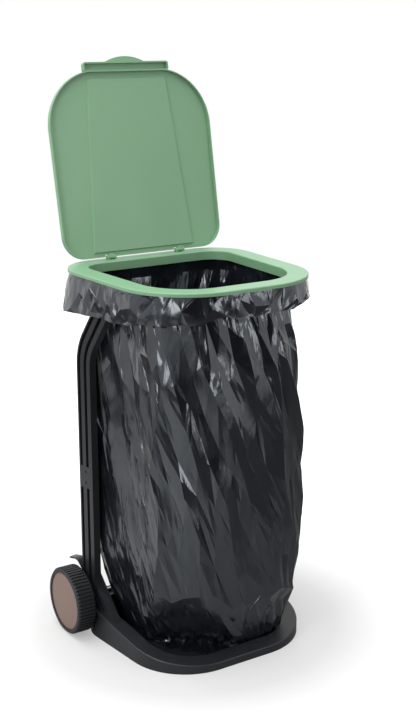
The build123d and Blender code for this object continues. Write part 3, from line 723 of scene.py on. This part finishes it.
cuff_spots = spread(
    3000, (-girth / 2 + edge_gap, 5.0), (girth / 2 - edge_gap, cuff_length - 6.0),
    cuff_spacing, 1.0, 0.0, [spot for line in cuff_lines for spot in line])
sides = facets(
    (around, cuff_ids, 0.0), (hem_spots, hem_ids, cuff_length), cuff_spots, cuff_lines, 1.0, 0.0, cuff_place)
whole = row_edges((cuff_ids,))
for share in (0.03, 0.02):
    sides = split(sides, whole, share)
faces += sides

mesh = bpy.data.meshes.new("bag_film")
faces = [tuple(int(index) for index in face) for face in faces]
mesh.from_pydata((np.array(points) * mm).tolist(), [], faces)
mesh.polygons.foreach_set("use_smooth", [True] * len(mesh.polygons))
mesh.materials.append(film)
mesh.set_sharp_from_angle(angle=math.radians(9.0))
mesh.update()
bag = bpy.data.objects.new("bag_film", mesh)
bpy.context.scene.collection.objects.link(bag)
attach(bag, "stand")
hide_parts("bin_bag")

# Room: soft light from three sides on the object, plain white for the camera
scene = bpy.context.scene
scene.view_settings.view_transform = "Standard"
world = bpy.data.worlds.new("studio")
scene.world = world
world.use_nodes = True
room = world.node_tree
room.nodes.clear()
direction = room.nodes.new("ShaderNodeTexCoord")


def camera_ray(tree):
    """1 for what the camera sees itself, 0 for light and mirror images."""
    return tree.nodes.new("ShaderNodeLightPath").outputs["Is Camera Ray"]


def lobe(toward, start, end, low, high):
    """Light from one side of the room, fading away from that direction."""
    product = room.nodes.new("ShaderNodeVectorMath")
    product.operation = "DOT_PRODUCT"
    product.inputs[1].default_value = toward
    room.links.new(direction.outputs["Generated"], product.inputs[0])
    return ramp(room, product.outputs["Value"], low, high, start, end, "SMOOTHSTEP")


def stronger(one, other):
    """The larger of two values."""
    node = room.nodes.new("ShaderNodeMath")
    node.operation = "MAXIMUM"
    room.links.new(one, node.inputs[0])
    room.links.new(other, node.inputs[1])
    return node.outputs["Value"]


def white_light():
    """White light of strength 1."""
    node = room.nodes.new("ShaderNodeBackground")
    node.inputs["Color"].default_value = (1.0, 1.0, 1.0, 1.0)
    node.inputs["Strength"].default_value = 1.0
    return node


above = lobe((-0.5, 0.25, 0.83), -0.25, 0.75, 0.03, 0.9)
behind = lobe((0.15, 0.98, 0.1), 0.2, 0.75, 0.0, 1.0)
beside = lobe((0.93, -0.3, 0.2), 0.45, 0.95, 0.0, 0.78)
soft, plain = white_light(), white_light()
room.links.new(stronger(stronger(above, behind), beside), soft.inputs["Strength"])
mix = room.nodes.new("ShaderNodeMixShader")
world_out = room.nodes.new("ShaderNodeOutputWorld")
room.links.new(camera_ray(room), mix.inputs["Fac"])
room.links.new(soft.outputs["Background"], mix.inputs[1])
room.links.new(plain.outputs["Background"], mix.inputs[2])
room.links.new(mix.outputs["Shader"], world_out.inputs["Surface"])


# Floor: it keeps the object's shadow and fades to white around it
def by_distance(tree, centre, start, end, low, high):
    """A value that changes with distance from a place on the floor."""
    place = tree.nodes.new("ShaderNodeTexCoord")
    distance = tree.nodes.new("ShaderNodeVectorMath")
    distance.operation = "DISTANCE"
    distance.inputs[1].default_value = centre
    tree.links.new(place.outputs["Object"], distance.inputs[0])
    return ramp(tree, distance.outputs["Value"], low, high, start, end)


def floor_material():
    """The camera sees an even floor; for all other rays the floor's colour holds a painted pool of light at
    the left, which the glossy pieces mirror.
    """
    mat = bpy.data.materials.new("floor")
    mat.use_nodes = True
    tree = mat.node_tree
    tree.nodes.clear()
    seen = camera_ray(tree)
    painted_pool_tone = tree.nodes.new("ShaderNodeMix")
    painted_pool_tone.data_type = "FLOAT"
    painted_pool_tone.inputs[3].default_value = 0.5
    tree.links.new(seen, painted_pool_tone.inputs[0])
    # Painted pool of light: for all but camera rays the floor's colour is 0.6 within 0.7 m of a place at the
    # left, falling to 0.11 at 2 m
    tree.links.new(by_distance(tree, (-1.3, 0.0, 0.0), 0.7, 2.0, 0.6, 0.11), painted_pool_tone.inputs[2])
    matt = tree.nodes.new("ShaderNodeBsdfDiffuse")
    tree.links.new(painted_pool_tone.outputs[0], matt.inputs["Color"])
    whiten = tree.nodes.new("ShaderNodeMath")
    whiten.operation = "MULTIPLY"
    tree.links.new(seen, whiten.inputs[0])
    tree.links.new(by_distance(tree, (0.0, 0.0, 0.0), 0.35, 0.85, 0.34, 1.0), whiten.inputs[1])
    lift = tree.nodes.new("ShaderNodeEmission")
    lift.inputs["Color"].default_value = (1.0, 1.0, 1.0, 1.0)
    tree.links.new(whiten.outputs["Value"], lift.inputs["Strength"])
    both = tree.nodes.new("ShaderNodeAddShader")
    tree.links.new(matt.outputs["BSDF"], both.inputs[0])
    tree.links.new(lift.outputs["Emission"], both.inputs[1])
    out = tree.nodes.new("ShaderNodeOutputMaterial")
    tree.links.new(both.outputs["Shader"], out.inputs["Surface"])
    return mat


floor_radius = 4.0
floor_sides = 128
floor_mesh = bpy.data.meshes.new("floor")
turns = np.linspace(0.0, 2 * math.pi, floor_sides + 1)[:-1]
rim = [(floor_radius * math.cos(turn), floor_radius * math.sin(turn), 0.0) for turn in turns]
floor_mesh.from_pydata(rim, [], [tuple(range(floor_sides))])
floor_mesh.materials.append(floor_material())
floor = bpy.data.objects.new("floor", floor_mesh)
scene.collection.objects.link(floor)


# Lights
def softbox(name, place, target, width, height, power):
    """A rectangular soft light that faces the target."""
    data = bpy.data.lights.new(name, "AREA")
    data.shape = "RECTANGLE"
    data.size, data.size_y = width, height
    data.energy = power
    lamp = bpy.data.objects.new(name, data)
    lamp.location = place
    lamp.rotation_mode = "QUATERNION"
    lamp.rotation_quaternion = (Vector(place) - Vector(target)).to_track_quat("Z", "Y")
    scene.collection.objects.link(lamp)


softbox("top_light", (-0.4, 0.3, 3.2), (0.0, 0.0, 0.5), 2.6, 2.6, 62.0)
softbox("left_light", (-2.6, -1.0, 1.5), (0.0, 0.0, 0.5), 0.5, 2.2, 18.0)
softbox("right_light", (1.5, -2.7, 1.3), (0.0, 0.0, 0.45), 0.4, 2.0, 9.0)

# Camera, as fitted to the photo
camera_place = Vector((-1.4326, -2.3042, 1.3864))
camera_data = bpy.data.cameras.new("camera")
camera_data.lens = 61.89
camera_data.sensor_width = 36.0
camera_data.clip_start, camera_data.clip_end = 0.05, 60.0
camera = bpy.data.objects.new("camera", camera_data)
scene.collection.objects.link(camera)
right = Vector((0.839, -0.544, 0.0)).normalized()
forward = Vector((0.524, 0.81, -0.263)).normalized()
right = (right - forward * right.dot(forward)).normalized()
up = right.cross(forward)
turned_axes = Matrix((right, up, -forward)).transposed().to_4x4()
camera.matrix_world = Matrix.Translation(camera_place) @ turned_axes
scene.camera = camera
